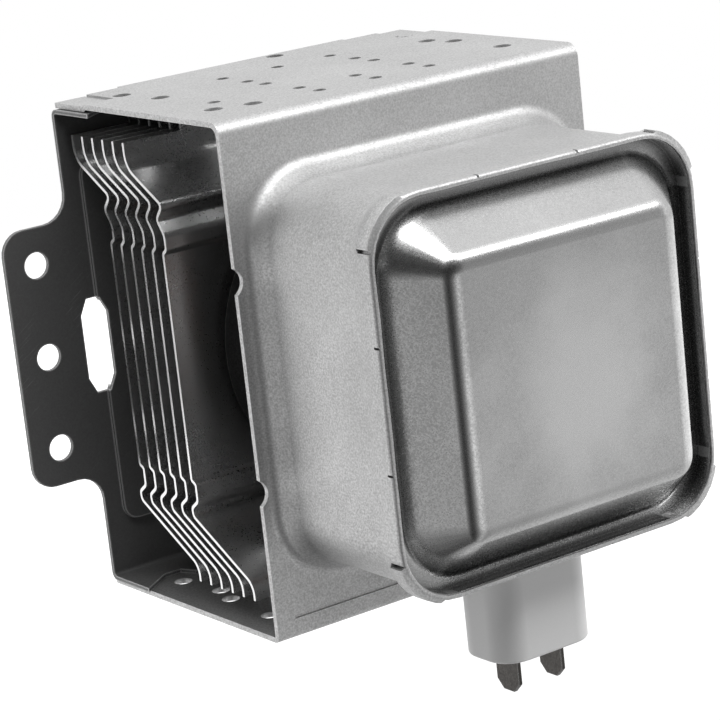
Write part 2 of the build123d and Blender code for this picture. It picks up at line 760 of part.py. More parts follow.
def build_parts():
    """Every sub-part by node name."""
    parts = {
        "yoke_filter_case": make_yoke_filter_case(),
        "mounting_plate": make_mounting_plate(),
        "flux_plate": make_flux_plate(),
        "filter_lid": make_filter_lid(),
        "output_magnet": make_magnet(pad_front_y),
        "input_magnet": make_magnet(input_flange_y),
        "anode_cylinder": make_anode_cylinder(),
        "anode_vanes": make_anode_vanes(),
        "strap_rings": make_strap_rings(),
        "output_pole_piece": make_output_pole_piece(),
        "input_pole_piece": make_pole_piece(anode_front_y, 1),
        "output_can": make_shell(output_flange_y, 1, output_shell_reach - output_flange_y),
        "input_can": make_shell(input_flange_y, -1, input_shell_reach),
        "output_ceramic": make_output_ceramic(),
        "antenna_cap": make_antenna_cap(),
        "exhaust_tube": make_exhaust_tube(),
        "antenna_lead": make_antenna_lead(),
        "rf_gasket": make_rf_gasket(),
        "gasket_ring": make_gasket_ring(),
        "cathode_filament": make_filament(),
        "output_end_hat": make_end_hat(1),
        "input_end_hat": make_end_hat(-1),
        "centre_lead": make_centre_lead(),
        "side_lead": make_side_lead(),
        "stem_ceramic": make_stem_ceramic(),
        "centre_terminal": make_stem_terminal(0),
        "side_terminal": make_stem_terminal(-side_lead_offset),
        "capacitor_body": make_capacitor_body(),
        "capacitor_plate": make_capacitor_plate(),
        "capacitor_rivets": make_capacitor_rivets(),
    }
    for index in range(fin_count):
        parts[f"cooling_fin_{index + 1}"] = make_cooling_fin(index)
    for side, hand in ((-1, "left"), (1, "right")):
        parts[f"choke_core_{hand}"] = make_choke_core(side)
        parts[f"choke_coil_{hand}"] = make_choke_coil(side)
        parts[f"terminal_blade_{hand}"] = make_terminal_blade(side)
    return parts


os.makedirs("parts", exist_ok=True)
for name, shape in build_parts().items():
    export_step(shape, f"parts/{name}.step")
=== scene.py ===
import json
import math

import bmesh
import bpy
from mathutils import Matrix, Vector


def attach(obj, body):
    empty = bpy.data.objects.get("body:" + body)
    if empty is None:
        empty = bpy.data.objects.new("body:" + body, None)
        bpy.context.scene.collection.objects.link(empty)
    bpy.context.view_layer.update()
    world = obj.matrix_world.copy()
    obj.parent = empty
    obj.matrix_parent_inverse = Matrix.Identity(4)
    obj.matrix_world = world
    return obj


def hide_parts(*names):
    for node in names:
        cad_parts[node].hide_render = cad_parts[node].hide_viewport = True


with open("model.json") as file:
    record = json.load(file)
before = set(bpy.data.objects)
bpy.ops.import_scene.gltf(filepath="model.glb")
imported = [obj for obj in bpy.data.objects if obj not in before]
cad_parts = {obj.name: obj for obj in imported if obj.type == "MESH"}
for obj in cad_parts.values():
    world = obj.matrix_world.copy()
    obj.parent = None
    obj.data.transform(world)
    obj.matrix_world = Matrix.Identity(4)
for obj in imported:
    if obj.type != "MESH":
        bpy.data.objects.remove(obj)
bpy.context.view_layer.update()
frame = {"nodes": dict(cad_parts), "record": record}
mm = 0.001
print("frame loaded:", len(frame["nodes"]), "nodes")


# shader groups that several materials share

def newGroup(name, inputs, outputs):
    # an empty node group with its named sockets
    group = bpy.data.node_groups.new(name, "ShaderNodeTree")
    for label, kind, value in inputs:
        socket = group.interface.new_socket(label, in_out="INPUT", socket_type=kind)
        socket.default_value = value
    for label, kind in outputs:
        group.interface.new_socket(label, in_out="OUTPUT", socket_type=kind)
    return group, group.nodes.new("NodeGroupInput"), group.nodes.new("NodeGroupOutput")


def addNode(tree, kind, **values):
    # keys with a capital letter are sockets, the others are settings
    node = tree.nodes.new(kind)
    for key, value in values.items():
        if key[0].isupper():
            node.inputs[key.replace("_", " ")].default_value = value
        else:
            setattr(node, key, value)
    return node


def mathNode(tree, operation, first, second=None, third=None, clamp=False):
    node = addNode(tree, "ShaderNodeMath", operation=operation, use_clamp=clamp)
    for socket, value in zip(node.inputs, (first, second, third)):
        if value is None:
            continue
        if isinstance(value, (int, float)):
            socket.default_value = value
        else:
            tree.links.new(value, socket)
    return node.outputs[0]


def rampNode(tree, factor, low, high, fromValue=0.0, toValue=1.0):
    # smooth step from fromValue at low to toValue at high
    node = addNode(tree, "ShaderNodeMapRange", interpolation_type="SMOOTHSTEP",
                   From_Min=low, From_Max=high, To_Min=fromValue, To_Max=toValue)
    tree.links.new(factor, node.inputs["Value"])
    return node.outputs["Result"]


def makeGrainGroup():
    # fine speckle of rolled sheet, with slow clouds over it
    group, inside, outside = newGroup(
        "sheetGrain",
        [("Size", "NodeSocketFloat", 0.0003), ("Seed", "NodeSocketFloat", 0.0),
         ("Grain", "NodeSocketFloat", 0.5), ("Clouds", "NodeSocketFloat", 0.3),
         ("Height", "NodeSocketFloat", 0.00001)],
        [("Tone", "NodeSocketFloat"), ("Normal", "NodeSocketVector")])
    place = addNode(group, "ShaderNodeTexCoord")
    link = group.links.new
    scale = mathNode(group, "DIVIDE", 1.0, inside.outputs["Size"])

    def noise(factor, detail):
        node = addNode(group, "ShaderNodeTexNoise", noise_dimensions="4D", Detail=detail, Roughness=0.6)
        link(place.outputs["Object"], node.inputs["Vector"])
        link(mathNode(group, "MULTIPLY", scale, factor), node.inputs["Scale"])
        link(inside.outputs["Seed"], node.inputs["W"])
        return node.outputs["Fac"]

    fine = noise(1.0, 2.0)
    slow = noise(0.018, 3.0)    # clouds some fifty times as large as the grain
    grain = mathNode(group, "MULTIPLY", mathNode(group, "SUBTRACT", fine, 0.5), inside.outputs["Grain"])
    clouds = mathNode(group, "MULTIPLY", mathNode(group, "SUBTRACT", slow, 0.5), inside.outputs["Clouds"])
    tone = mathNode(group, "ADD", mathNode(group, "ADD", grain, clouds), 0.5, clamp=True)
    link(tone, outside.inputs["Tone"])
    bump = addNode(group, "ShaderNodeBump", Strength=1.0)
    link(inside.outputs["Height"], bump.inputs["Distance"])
    link(fine, bump.inputs["Height"])
    link(bump.outputs["Normal"], outside.inputs["Normal"])
    return group


def makeSpeckGroup():
    # a few small dark pits and stains, each at a random place
    group, inside, outside = newGroup(
        "darkSpecks",
        [("Spacing", "NodeSocketFloat", 0.008), ("Radius", "NodeSocketFloat", 0.0003),
         ("Seed", "NodeSocketFloat", 0.0)],
        [("Mask", "NodeSocketFloat")])
    place = addNode(group, "ShaderNodeTexCoord")
    cells = addNode(group, "ShaderNodeTexVoronoi", voronoi_dimensions="4D", feature="F1")
    link = group.links.new
    link(place.outputs["Object"], cells.inputs["Vector"])
    link(mathNode(group, "DIVIDE", 1.0, inside.outputs["Spacing"]), cells.inputs["Scale"])
    link(inside.outputs["Seed"], cells.inputs["W"])
    reach = mathNode(group, "DIVIDE", inside.outputs["Radius"], inside.outputs["Spacing"])
    away = mathNode(group, "DIVIDE", cells.outputs["Distance"], reach)
    near = mathNode(group, "SUBTRACT", 1.0, away, clamp=True)
    link(mathNode(group, "POWER", near, 0.6), outside.inputs["Mask"])
    return group


def makeScratchGroup():
    # hairline handling scratches that run mostly one way
    group, inside, outside = newGroup(
        "fineScratches",
        [("Width", "NodeSocketFloat", 0.0001), ("Turn", "NodeSocketFloat", 0.5),
         ("Amount", "NodeSocketFloat", 0.3)],
        [("Mask", "NodeSocketFloat")])
    place = addNode(group, "ShaderNodeTexCoord")
    link = group.links.new
    turned = addNode(group, "ShaderNodeVectorRotate", rotation_type="Y_AXIS")
    link(place.outputs["Object"], turned.inputs["Vector"])
    link(inside.outputs["Turn"], turned.inputs["Angle"])
    stretched = addNode(group, "ShaderNodeMapping", Scale=(0.02, 0.3, 1.0))
    link(turned.outputs["Vector"], stretched.inputs["Vector"])
    lines = addNode(group, "ShaderNodeTexNoise", Detail=1.0)
    link(stretched.outputs["Vector"], lines.inputs["Vector"])
    link(mathNode(group, "DIVIDE", 1.0, inside.outputs["Width"]), lines.inputs["Scale"])
    patches = addNode(group, "ShaderNodeTexNoise", Scale=70.0, Detail=1.0)
    link(place.outputs["Object"], patches.inputs["Vector"])
    line = rampNode(group, lines.outputs["Fac"], 0.66, 0.72)
    where = rampNode(group, patches.outputs["Fac"], 0.5, 0.65)
    mask = mathNode(group, "MULTIPLY", mathNode(group, "MULTIPLY", line, where), inside.outputs["Amount"])
    link(mask, outside.inputs["Mask"])
    return group


def makeWearAndHighlightGroup():
    # bright rubbed metal where the surface turns sharply: partly real wear, partly a painted highlight along
    # the edges
    group, inside, outside = newGroup(
        "edgeWearAndHighlight",
        [("Reach", "NodeSocketFloat", 0.0004), ("Amount", "NodeSocketFloat", 0.5)],
        [("Mask", "NodeSocketFloat")])
    link = group.links.new
    rounded = addNode(group, "ShaderNodeBevel", samples=6)
    link(inside.outputs["Reach"], rounded.inputs["Radius"])
    flat = addNode(group, "ShaderNodeNewGeometry")
    turn = addNode(group, "ShaderNodeVectorMath", operation="DOT_PRODUCT")
    link(rounded.outputs["Normal"], turn.inputs[0])
    link(flat.outputs["Normal"], turn.inputs[1])
    edge = rampNode(group, turn.outputs["Value"], 0.995, 0.8)
    link(mathNode(group, "MULTIPLY", edge, inside.outputs["Amount"]), outside.inputs["Mask"])
    return group


def makeGrooveShadeGroup():
    # painted shade: darker in grooves and inner corners, where ambient occlusion finds them
    group, inside, outside = newGroup(
        "paintedGrooveShade",
        [("Reach", "NodeSocketFloat", 0.004), ("Amount", "NodeSocketFloat", 0.5)],
        [("Mask", "NodeSocketFloat")])
    link = group.links.new
    hidden = addNode(group, "ShaderNodeAmbientOcclusion", samples=6)
    link(inside.outputs["Reach"], hidden.inputs["Distance"])
    groove = rampNode(group, hidden.outputs["AO"], 0.85, 0.35)
    link(mathNode(group, "MULTIPLY", groove, inside.outputs["Amount"]), outside.inputs["Mask"])
    return group


def makeHighlightPatchGroup():
    # painted highlight: one large soft bright patch, with its edge broken up
    group, inside, outside = newGroup(
        "paintedHighlightPatch",
        [("Centre", "NodeSocketVector", (0, 0, 0)), ("Radius", "NodeSocketFloat", 0.025),
         ("Amount", "NodeSocketFloat", 0.0)],
        [("Mask", "NodeSocketFloat")])
    link = group.links.new
    place = addNode(group, "ShaderNodeTexCoord")
    away = addNode(group, "ShaderNodeVectorMath", operation="DISTANCE")
    link(place.outputs["Object"], away.inputs[0])
    link(inside.outputs["Centre"], away.inputs[1])
    broken = addNode(group, "ShaderNodeTexNoise", Scale=90.0, Detail=3.0)
    link(place.outputs["Object"], broken.inputs["Vector"])
    share = mathNode(group, "DIVIDE", away.outputs["Value"], inside.outputs["Radius"])
    share = mathNode(group, "ADD", share, mathNode(group, "MULTIPLY_ADD", broken.outputs["Fac"], 1.0, -0.5))
    highlightPatch = rampNode(group, share, 1.1, 0.1)
    link(mathNode(group, "MULTIPLY", highlightPatch, inside.outputs["Amount"]), outside.inputs["Mask"])
    return group


shared = {
    "grain": makeGrainGroup(),
    "specks": makeSpeckGroup(),
    "scratches": makeScratchGroup(),
    "wearAndHighlight": makeWearAndHighlightGroup(),
    "grooveShade": makeGrooveShadeGroup(),
    "highlightPatch": makeHighlightPatchGroup(),
}


def useGroup(tree, key, **values):
    node = addNode(tree, "ShaderNodeGroup", node_tree=shared[key])
    for label, value in values.items():
        node.inputs[label].default_value = value
    return node


def mixColour(tree, factor, first, second):
    node = addNode(tree, "ShaderNodeMix", data_type="RGBA")
    sockets = [s for s in node.inputs if s.enabled]
    for socket, value in zip(sockets, (factor, first, second)):
        if isinstance(value, (int, float, tuple)):
            socket.default_value = value
        else:
            tree.links.new(value, socket)
    return [s for s in node.outputs if s.enabled][0]


def grey(value, warmth=0.0):
    return (value * (1 + warmth), value, value * (1 - warmth), 1.0)


# materials

def makeFinish(name, look):
    # grain in the tone, then a painted highlight patch, painted shade in grooves, specks, hairline scratches
    # and rubbed edges with a painted edge highlight over it
    material = bpy.data.materials.new(name)
    material.use_nodes = True
    tree = material.node_tree
    shader = tree.nodes["Principled BSDF"]
    grain = useGroup(tree, "grain", Size=look["grainSize"], Seed=look["seed"], Grain=look["grain"],
                     Clouds=look["clouds"], Height=look["height"])
    specks = useGroup(tree, "specks", Spacing=look["speckSpacing"], Radius=look["speckRadius"],
                      Seed=look["seed"])
    scratches = useGroup(tree, "scratches", Turn=look["turn"], Amount=look["scratches"])
    wearAndHighlight = useGroup(tree, "wearAndHighlight", Reach=look["wearAndHighlightReach"], Amount=look["wearAndHighlight"])
    grooveShade = useGroup(tree, "grooveShade", Reach=look["grooveShadeReach"], Amount=look["grooveShade"])
    highlightPatch = useGroup(tree, "highlightPatch", Centre=look["highlightCentre"], Radius=look["highlightRadius"],
                     Amount=look["highlightPatch"])
    body = mixColour(tree, grain.outputs["Tone"], look["dark"], look["light"])
    # painted highlight: a bright soft patch in the rubbed colour
    body = mixColour(tree, highlightPatch.outputs["Mask"], body, look["rubbedAndHighlight"])
    # painted shade in grooves and inner corners, in the specks' dark colour
    body = mixColour(tree, grooveShade.outputs["Mask"], body, look["speckAndShadeColour"])
    body = mixColour(tree, specks.outputs["Mask"], body, look["speckAndShadeColour"])
    body = mixColour(tree, scratches.outputs["Mask"], body, look["rubbedAndHighlight"])
    # rubbed edges: real wear together with a painted edge highlight
    body = mixColour(tree, wearAndHighlight.outputs["Mask"], body, look["rubbedAndHighlight"])
    tree.links.new(body, shader.inputs["Base Color"])
    rough = rampNode(tree, grain.outputs["Tone"], 0.2, 0.8, look["roughHigh"], look["roughLow"])
    rough = mathNode(tree, "ADD", rough, mathNode(tree, "MULTIPLY", specks.outputs["Mask"], 0.3), clamp=True)
    tree.links.new(rough, shader.inputs["Roughness"])
    tree.links.new(grain.outputs["Normal"], shader.inputs["Normal"])
    shader.inputs["Metallic"].default_value = look["metallic"]
    shader.inputs["Specular IOR Level"].default_value = look["specular"]
    return material


# sizes of a finish are in metres, and dark and light are the ends of its grain's tone
plain = {
    "grainSize": 0.00034, "seed": 1.0, "grain": 2.2, "clouds": 0.6, "height": 0.00001,
    "grooveShadeReach": 0.004, "grooveShade": 0.35, "highlightCentre": (0, 0, 0), "highlightRadius": 0.025, "highlightPatch": 0.0,
    "speckSpacing": 0.014, "speckRadius": 0.00028, "turn": 0.6, "scratches": 0.2,
    "wearAndHighlightReach": 0.00035, "wearAndHighlight": 0.4, "metallic": 1.0, "specular": 0.5,
    "dark": grey(0.44), "light": grey(0.7), "rubbedAndHighlight": grey(0.8), "speckAndShadeColour": grey(0.08),
    "roughLow": 0.46, "roughHigh": 0.58,
}
looks = {
    "zincSteel": dict(plain),
    # the lid gets a painted highlight patch on its plateau and strong painted shade in its groove
    "lidSteel": dict(plain, seed=2.0, dark=grey(0.38), light=grey(0.62), grain=1.5, height=0.000004,
                     roughLow=0.23, roughHigh=0.31, grooveShade=0.8, highlightCentre=(0.001, -0.096, -0.003),
                     highlightRadius=0.026, highlightPatch=0.65),
    # a wider, stronger painted edge highlight along the pad's pressed edges, with their wear
    "flangeSteel": dict(plain, seed=3.0, dark=grey(0.11), light=grey(0.17), grain=1.0, metallic=0.4,
                        roughLow=0.35, roughHigh=0.5, grooveShade=0.2, wearAndHighlightReach=0.0006, wearAndHighlight=0.7),
    "finAluminium": dict(plain, seed=5.0, dark=grey(0.72), light=grey(0.84), grain=0.8,
                         roughLow=0.25, roughHigh=0.35, scratches=0.6, grooveShade=0.1),
    "anodeCopper": dict(plain, seed=7.0, dark=(0.5, 0.22, 0.12, 1), light=(0.75, 0.38, 0.22, 1)),
    "tubeIron": dict(plain, seed=9.0, dark=grey(0.3), light=grey(0.45), roughLow=0.2, roughHigh=0.3),
    "capSteel": dict(plain, seed=11.0, dark=grey(0.5), light=grey(0.68), roughLow=0.14, roughHigh=0.24),
    "wireSteel": dict(plain, seed=13.0, dark=grey(0.4), light=grey(0.6), roughLow=0.2, roughHigh=0.3),
    "heaterMetal": dict(plain, seed=15.0, dark=grey(0.12), light=grey(0.22)),
    "copperWire": dict(plain, seed=17.0, dark=(0.3, 0.09, 0.03, 1), light=(0.5, 0.16, 0.06, 1)),
    "tabBrass": dict(plain, seed=19.0, dark=grey(0.045, 0.06), light=grey(0.085, 0.06),
                     roughLow=0.3, roughHigh=0.4),
    "magnetFerrite": dict(plain, seed=21.0, dark=grey(0.008), light=grey(0.02), metallic=0.0, specular=0.06,
                          roughLow=0.6, roughHigh=0.75, wearAndHighlight=0.1),
    "whiteCeramic": dict(plain, seed=23.0, dark=grey(0.7), light=grey(0.8), metallic=0.0, wearAndHighlight=0.0,
                         scratches=0.0),
    "blockResin": dict(plain, seed=25.0, dark=grey(0.8), light=grey(0.87), grain=0.6, metallic=0.0, wearAndHighlight=0.0,
                       scratches=0.0),
}
materials = {name: makeFinish(name, look) for name, look in looks.items()}

slotLooks = {
    "case_steel": "zincSteel", "flange_steel": "flangeSteel", "magnet_ferrite": "magnetFerrite",
    "fin_aluminium": "finAluminium", "tube_copper": "anodeCopper", "tube_iron": "tubeIron",
    "alumina": "whiteCeramic", "cap_steel": "capSteel", "gasket_wire": "wireSteel",
    "refractory_metal": "heaterMetal", "choke_wire": "copperWire", "choke_ferrite": "magnetFerrite",
    "capacitor_resin": "blockResin", "terminal_metal": "tabBrass",
}


def dressNodes():
    # each CAD node gets the material of its slot in the record
    for entry in frame["record"]["subparts"]:
        part = frame["nodes"][entry["node"]]
        part.data.materials.clear()
        part.data.materials.append(materials[slotLooks[entry["material_slot"]]])


dressNodes()
print("materials on the frame's own nodes")


# modelling helpers: every size in the dictionaries is in millimetres

touch = 0.01    # a place this near, in millimetres, counts as the same


def deselectAll():
    if bpy.context.mode != "OBJECT":
        bpy.ops.object.mode_set(mode="OBJECT")
    bpy.ops.object.select_all(action="DESELECT")


def makeActive(piece):
    deselectAll()
    piece.select_set(True)
    bpy.context.view_layer.objects.active = piece


def startPiece(name):
    # the primitive just added gets its name, its place goes into the mesh, and it is opened for editing
    piece = bpy.context.object
    piece.name = name
    piece.data.name = name
    bpy.ops.object.transform_apply(location=True, rotation=True, scale=True)
    bpy.ops.object.mode_set(mode="EDIT")
    return piece


def startCube(name, low, high):
    deselectAll()
    middle = [(a + b) / 2 * mm for a, b in zip(low, high)]
    size = [(b - a) * mm for a, b in zip(low, high)]
    bpy.ops.mesh.primitive_cube_add(size=1, location=middle, scale=size)
    return startPiece(name)


def startEmpty(name):
    # an object with nothing in it yet, open for editing
    deselectAll()
    bpy.ops.mesh.primitive_cube_add(size=mm)
    piece = startPiece(name)
    bpy.ops.mesh.delete(type="VERT")
    return piece


def choose(kind, test):
    # selects by place (in millimetres) or by normal; returns how many passed
    bpy.ops.mesh.select_mode(type=kind)
    bpy.ops.mesh.select_all(action="DESELECT")
    edited = bpy.context.edit_object.data
    mesh = bmesh.from_edit_mesh(edited)
    items = {"VERT": mesh.verts, "EDGE": mesh.edges, "FACE": mesh.faces}[kind]
    count = 0
    for item in items:
        corners = [item] if kind == "VERT" else item.verts
        at = sum((corner.co for corner in corners), Vector()) / len(corners) / mm
        if test(at, item):
            item.select_set(True)
            count += 1
    mesh.select_flush_mode()
    bmesh.update_edit_mesh(edited)
    return count


def roundedPlace(at):
    return tuple(round(value, 2) for value in at)


def chosenPlaces():
    mesh = bmesh.from_edit_mesh(bpy.context.edit_object.data)
    chosen = [edge for edge in mesh.edges if edge.select]
    return {roundedPlace((edge.verts[0].co + edge.verts[1].co) / 2 / mm) for edge in chosen}


def extrudeBy(x=0.0, y=0.0, z=0.0):
    bpy.ops.mesh.extrude_region_move(TRANSFORM_OT_translate={"value": (x * mm, y * mm, z * mm)})


def moveBy(x=0.0, y=0.0, z=0.0):
    bpy.ops.transform.translate(value=(x * mm, y * mm, z * mm))


def stretchBy(x=1.0, y=1.0, z=1.0, about=(0, 0, 0)):
    bpy.ops.transform.resize(value=(x, y, z), center_override=[c * mm for c in about])


def cutAlong(axis, *places):
    # bisects what is selected at each place on one axis
    for place in places:
        point = [0.0, 0.0, 0.0]
        point[axis] = place * mm
        normal = [0.0, 0.0, 0.0]
        normal[axis] = 1.0
        bpy.ops.mesh.bisect(plane_co=point, plane_no=normal, threshold=0.00001)


def roundedLine(points, radii, steps=5):
    # the points of a line, with an arc in place of each inner corner
    line = [Vector(points[0])]
    for before, corner, after, radius in zip(points, points[1:], points[2:], radii):
        corner = Vector(corner)
        back = (Vector(before) - corner).normalized()
        ahead = (Vector(after) - corner).normalized()
        half = back.angle(ahead) / 2
        centre = corner + (back + ahead).normalized() * radius / math.sin(half)
        first = corner + back * radius / math.tan(half) - centre
        last = corner + ahead * radius / math.tan(half) - centre
        for step in range(steps + 1):
            share = step / steps
            ray = (first * (1 - share) + last * share).normalized()
            line.append(centre + ray * radius)
    line.append(Vector(points[-1]))
    return line


def pressAlong(line):
    # insets the chosen face step by step; a point is (distance inwards, distance out of the face)
    for here, there in zip(line, line[1:]):
        inwards, out = there - here
        if inwards + abs(out) > 0.001:
            bpy.ops.mesh.inset(thickness=inwards * mm, depth=out * mm, use_even_offset=True)


def roundedPlate(width, height, radius, y, steps=8):
    # in edit mode: a flat face with rounded corners, square to Y
    bpy.ops.mesh.primitive_plane_add(size=1, location=(0, y * mm, 0), rotation=(math.radians(90), 0, 0))
    stretchBy(width * mm, 1, height * mm, about=(0, y, 0))
    bpy.ops.mesh.bevel(offset=radius * mm, segments=steps, affect="VERTICES")


def setInFace(width, height, radius, y):
    # in edit mode: a rounded face set into the opening that surrounds it at y; only it stays chosen
    leastCorners = 12
    roundedPlate(width, height, radius, y)
    rim = chosenPlaces()
    bpy.ops.mesh.delete(type="ONLY_FACE")
    choose("EDGE", lambda at, edge: abs(at.y - y) < touch and (edge.is_boundary or edge.is_wire))
    bpy.ops.mesh.fill(use_beauty=True)
    choose("EDGE", lambda at, edge: roundedPlace(at) in rim)
    bpy.ops.mesh.edge_face_add()
    if choose("FACE", lambda at, face: face.normal.y > 0.9 and abs(at.y - y) < touch):
        bpy.ops.mesh.flip_normals()
    choose("FACE", lambda at, face: len(face.verts) > leastCorners and abs(at.y - y) < touch and
           abs(at.x) + abs(at.z) < 1)


def useModifier(piece, kind, **values):
    makeActive(piece)
    modifier = piece.modifiers.new(kind.lower(), kind)
    for key, value in values.items():
        setattr(modifier, key, value)
    bpy.ops.object.modifier_apply(modifier=modifier.name)


def cutAway(piece, cutter, operation="DIFFERENCE"):
    deselectAll()
    useModifier(piece, "BOOLEAN", operation=operation, solver="MANIFOLD", object=cutter)
    bpy.data.objects.remove(cutter)


def softenEdges(piece, width, angle=32.0, segments=2):
    if width:
        useModifier(piece, "BEVEL", width=width * mm, segments=segments, limit_method="ANGLE",
                    angle_limit=math.radians(angle))
    makeActive(piece)
    bpy.ops.object.shade_smooth_by_angle(angle=math.radians(angle))
    useModifier(piece, "WEIGHTED_NORMAL", keep_sharp=True)


def turnOutwards():
    bpy.ops.mesh.select_all(action="SELECT")
    bpy.ops.mesh.remove_doubles(threshold=0.000005)
    bpy.ops.mesh.normals_make_consistent(inside=False)


def putInPlace(piece, material, slotName, *nodes):
    # the finished piece takes its material and stands for its CAD nodes
    deselectAll()
    piece.data.materials.clear()
    piece.data.materials.append(materials[material])
    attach(piece, "root")
    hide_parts(*nodes)
    print(piece.name, "done,", len(piece.data.polygons), "faces")


def addHoles(holes, radius, low, high, axis="Z", vertices=32):
    # in edit mode: one cylinder for each (across, up) place, to cut with
    for first, second in holes:
        middle = (low + high) / 2
        place = (first, second, middle) if axis == "Z" else (first, middle, second)
        turn = (0, 0, 0) if axis == "Z" else (math.radians(90), 0, 0)
        bpy.ops.mesh.primitive_cylinder_add(vertices=vertices, radius=radius * mm, depth=(high - low) * mm,
                                            location=[p * mm for p in place], rotation=turn)


def addBlocks(blocks):
    # in edit mode: one box for each (low corner, high corner), to cut with
    for low, high in blocks:
        middle = [(a + b) / 2 for a, b in zip(low, high)]
        bpy.ops.mesh.primitive_cube_add(size=1, location=[m * mm for m in middle])
        stretchBy(*[(b - a) * mm for a, b in zip(low, high)], about=middle)


# yoke and filter case, pressed from one sheet

yokeSizes = {
    "width": 80.0, "height": 94.0, "depth": 55.0, "sheet": 1.0,
    "topBend": 2.5, "bottomBend": 1.2,
    "caseWidth": 70.0, "caseHeight": 69.6, "caseCorner": 11.0, "caseDepth": 34.2,
    "rootReach": 4.75, "rootRise": 4.3, "rootRadius": 2.6, "rootSlope": 62.0,
    "wallEnd": 7.0, "rimStep": 0.75, "rimStepRun": 3.4, "foldRadius": 0.6, "foldReach": 0.9, "foldFall": 0.05,
    "stripX": 27.6, "stripZ": 27.0, "stripOut": 0.45, "stripArc": 10.0, "slit": 0.4,
    "crimpStep": 4.5, "crimp": 0.09, "crimpSeed": 3,
    "nickWidth": 0.45, "nickDepth": 0.5, "nickLength": 1.4, "nickTop": (-11.8, 9.9), "nickSide": (11.0, -11.0),
    "lipHalf": 26.0, "shoulder": 1.2,
    "tabX": 33.5, "tabLength": 11.0, "tabSetback": 0.5, "tabDrop": 0.4, "tabRamp": 0.6,
    "smallHole": 1.25, "largeHole": 1.75,
    "smallPlaces": [(x, y) for x in (-12.0, 0.4, 12.6) for y in (-14.7, -39.6, -45.8)]
                   + [(x, y) for x in (-12.0, 12.6) for y in (-22.8, -28.8)] + [(-27.9, -35.7)],
    "largePlaces": [(-31.0, -9.7), (-29.3, -20.2), (-32.2, -42.1), (-25.5, -44.6), (33.5, -10.5), (31.1, -21.0),
                    (33.0, -27.0), (32.4, -42.5), (8.2, -2.6)],
    "bottomPlaces": [(33.0, -12.9), (31.4, -23.5), (33.0, -29.2), (33.6, -43.0)],
    "notchRadius": 2.65, "notchX": 41.25, "notchZ": 19.1,
    "grooveUp": 4.0, "grooveWidth": 0.7, "grooveDepth": 0.25, "grooveGap": 4.0,
    "blockPlace": 75.0, "blockLow": -45.0, "blockRise": 20.0,
    "blockWidth": 21.7, "blockDepth": 14.7, "blockCorner": 5.3,
    "edge": 0.12,
}


def pressCase(size):
    # the front face is drawn out into the case, whose rim steps out and folds in over the lid
    frontY = -size["depth"]
    reach = size["rootReach"]
    choose("FACE", lambda at, face: face.normal.y < -0.99)
    bpy.ops.mesh.delete(type="ONLY_FACE")
    setInFace(size["caseWidth"] + 2 * reach, size["caseHeight"] + 2 * reach, size["caseCorner"] + reach, frontY)

    rise = size["rootRise"]
    slope = math.radians(size["rootSlope"])
    turnAt = reach - rise / math.tan(slope)
    wall = size["caseDepth"] - size["wallEnd"]
    pressAlong(roundedLine([(0, 0), (turnAt, 0), (reach, rise)], [size["rootRadius"]]))
    extrudeBy(y=rise - wall)
    widthShare = 1 + size["rimStep"] / (size["caseWidth"] / 2)
    heightShare = 1 + size["rimStep"] / (size["caseHeight"] / 2)
    extrudeBy(y=-size["rimStepRun"])
    stretchBy(widthShare, 1, heightShare, about=(0, frontY - wall, 0))
    fold = size["foldRadius"]
    band = size["wallEnd"] - size["rimStepRun"]
    extrudeBy(y=2 * fold - band)
    pressAlong(roundedLine([(0, -2 * fold), (0, 0), (size["foldReach"], -size["foldFall"])], [fold], steps=6))
    bpy.ops.mesh.delete(type="ONLY_FACE")
    # the folded edge is uneven from the crimping tool
    crestY = frontY - size["caseDepth"]
    for axis, half in ((0, size["caseWidth"] / 2), (2, size["caseHeight"] / 2)):
        place = size["caseCorner"] - half
        while place < half - size["caseCorner"]:
            choose("FACE", lambda at, face: at.y < crestY + 1 and abs(at[2 - axis]) > size["stripX"])
            cutAlong(axis, place)
            place += size["crimpStep"]
    choose("EDGE", lambda at, edge: edge.is_boundary and crestY - 1 < at.y < crestY + 3)
    bpy.ops.transform.vertex_random(offset=size["crimp"] * mm, seed=size["crimpSeed"])


def slitCorners(size):
    # two slits at each corner of the rim, and the strip between them stands a little proud
    crestY = -size["depth"] - size["caseDepth"]
    rimY = crestY + size["wallEnd"]
    bandY = rimY - size["rimStepRun"] + 0.1
    half = size["slit"] / 2
    arc = size["stripArc"]
    farX = size["caseWidth"] / 4
    farZ = size["caseHeight"] / 4
    for side in (-1, 1):
        for place in (size["stripX"] - half, size["stripX"] + half):
            choose("FACE", lambda at, face: at.y < rimY + 0.1 and abs(at.z) > farZ)
            cutAlong(0, side * place)
        for place in (size["stripZ"] - half, size["stripZ"] + half):
            choose("FACE", lambda at, face: at.y < rimY + 0.1 and abs(at.x) > farX)
            cutAlong(2, side * place)

    foldX = size["caseWidth"] / 2 + size["rimStep"] - size["foldRadius"]
    foldZ = size["caseHeight"] / 2 + size["rimStep"] - size["foldRadius"]
    choose("FACE", lambda at, face: at.y < bandY - 0.1 and (
        (abs(abs(at.x) - size["stripX"]) < half and abs(at.z) > foldZ) or
        (abs(abs(at.z) - size["stripZ"]) < half and abs(at.x) > foldX)))
    bpy.ops.mesh.delete(type="FACE")

    startX = size["stripX"] + half - touch
    startZ = size["stripZ"] + half - touch
    for sideX in (-1, 1):
        for sideZ in (-1, 1):
            def inStrip(at, corner):
                outside = (abs(at.x) > foldX or abs(at.z) > foldZ or
                           math.hypot(abs(at.x) - foldX + arc, abs(at.z) - foldZ + arc) > arc)
                return (outside and crestY + 0.3 < at.y < bandY and
                        at.x * sideX > startX and at.z * sideZ > startZ)

            choose("VERT", inStrip)
            moveBy(x=sideX * size["stripOut"], z=sideZ * size["stripOut"])


